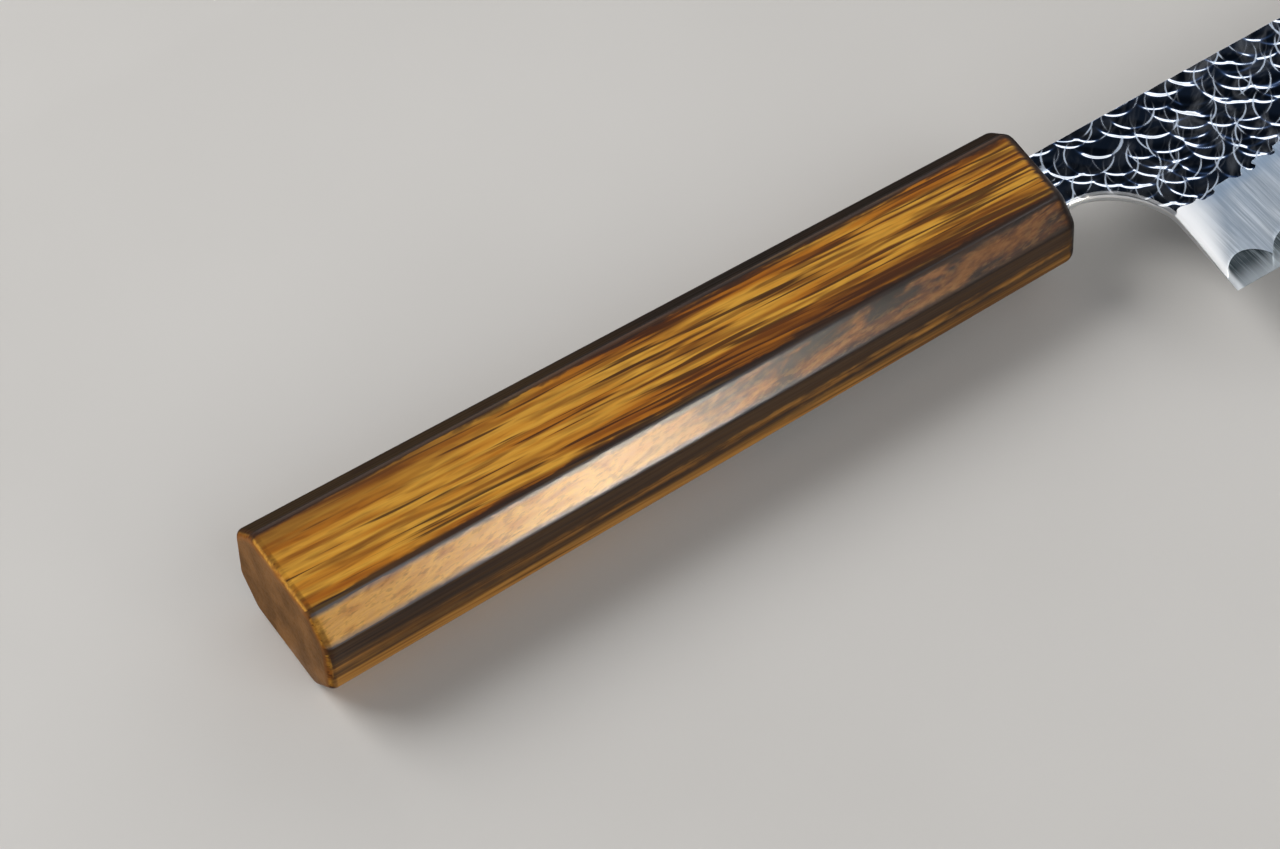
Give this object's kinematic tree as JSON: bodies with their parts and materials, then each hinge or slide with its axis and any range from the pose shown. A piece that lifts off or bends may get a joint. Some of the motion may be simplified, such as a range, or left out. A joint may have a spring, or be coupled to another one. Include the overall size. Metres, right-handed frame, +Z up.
{
  "type": "chef knife",
  "caption": "Chef's knife with a slim, laminated, hammered blade, a wide brushed bevel with bare core steel at the edge, and a tapered octagonal lacquered wooden handle on a hidden tang.",
  "frame": {"origin": "bottom centre of the bounding box, with the knife lying on its left side", "axes": "+X along the knife towards the tip, +Y towards the spine, +Z up out of the blade's right face"},
  "size_m": [0.3646, 0.0468, 0.0202],
  "materials": {
    "hammered_stainless": "mirror-polished hammered dimples above a brushed bevel",
    "core_steel": "fine stone-ground",
    "lacquered_oak": "glossy wiped lacquer over scorched, straight-grained oak",
    "dowel_wood": "sawn, unfinished",
    "cured_adhesive": "cured resin",
    "seal_resin": "satin dark resin"
  },
  "bodies": {
    "root": {"blade_core": "core_steel", "cladding_right": "hammered_stainless", "cladding_left": "hammered_stainless", "handle_body": "lacquered_oak", "dowel_half_right": "dowel_wood", "dowel_half_left": "dowel_wood", "tang_adhesive": "cured_adhesive", "mouth_seal": "seal_resin"}
  },
  "joints": []
}
